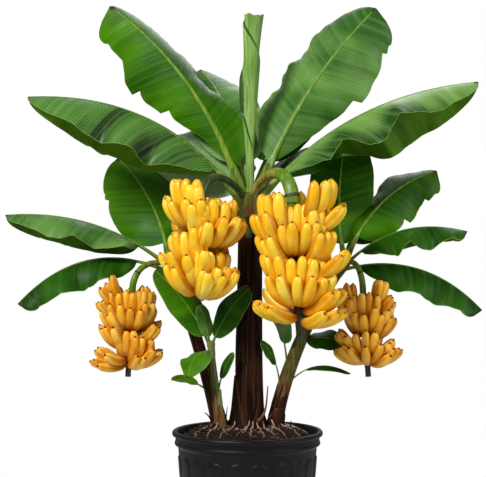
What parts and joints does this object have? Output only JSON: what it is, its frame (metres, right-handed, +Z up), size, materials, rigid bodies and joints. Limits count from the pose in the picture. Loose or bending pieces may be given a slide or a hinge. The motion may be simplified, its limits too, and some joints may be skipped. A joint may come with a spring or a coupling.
{
  "type": "fruiting banana plant in a nursery pot",
  "caption": "Banana plant clump in a fluted black nursery pot, with broad arching leaves, a rolled new leaf and bunches of ripe bananas on arched stalks.",
  "frame": {"origin": "centre of the pot's flat underside, which stands on the floor", "axes": "+Z up along the main stem, +X to the right and -Y towards the front, where the bunches hang"},
  "size_m": [1.3907, 0.905, 1.639],
  "materials": {
    "pot": "satin",
    "soil": "matte",
    "old_stem": "matte",
    "young_stem": "satin",
    "green_stem": "satin",
    "stalk": "satin",
    "yellow_fruit": "satin",
    "golden_fruit": "satin",
    "new_leaf": "satin",
    "leaf": "satin"
  },
  "bodies": {
    "root": {"pot": "pot", "soil": "soil", "main_stem": "old_stem", "left_stem": "young_stem", "right_stem": "young_stem", "sucker_stem": "green_stem", "rolled_leaf": "new_leaf", "upper_left_stalk_rise": "stalk", "upper_left_stalk_fall": "stalk", "upper_left_bunch": "yellow_fruit", "upper_right_stalk_rise": "stalk", "upper_right_stalk_fall": "stalk", "upper_right_bunch": "yellow_fruit", "lower_left_stalk": "stalk", "lower_left_bunch": "golden_fruit", "lower_right_stalk": "stalk", "lower_right_bunch": "golden_fruit", "main_upper_left_leaf": "leaf", "main_upper_right_leaf": "leaf", "main_arch_left_leaf": "leaf", "main_arch_right_leaf": "leaf", "main_back_left_leaf": "leaf", "main_pale_left_leaf": "leaf", "main_back_right_leaf": "leaf", "main_droop_back_leaf": "leaf", "main_droop_right_leaf": "leaf", "main_low_right_leaf": "leaf", "left_oval_leaf": "leaf", "left_outer_leaf": "leaf", "left_low_leaf": "leaf", "left_back_leaf": "leaf", "right_oval_leaf": "leaf", "right_upper_leaf": "leaf", "right_outer_leaf": "leaf", "right_low_leaf": "leaf", "right_back_leaf": "leaf", "sucker_left_leaf": "leaf", "sucker_up_leaf": "leaf", "sucker_right_leaf": "leaf", "sucker_front_leaf": "leaf", "sucker_low_leaf": "leaf", "left_foot_leaf": "leaf", "right_foot_up_leaf": "leaf", "right_foot_side_leaf": "leaf", "right_foot_in_leaf": "leaf", "right_foot_out_leaf": "leaf"}
  },
  "joints": []
}
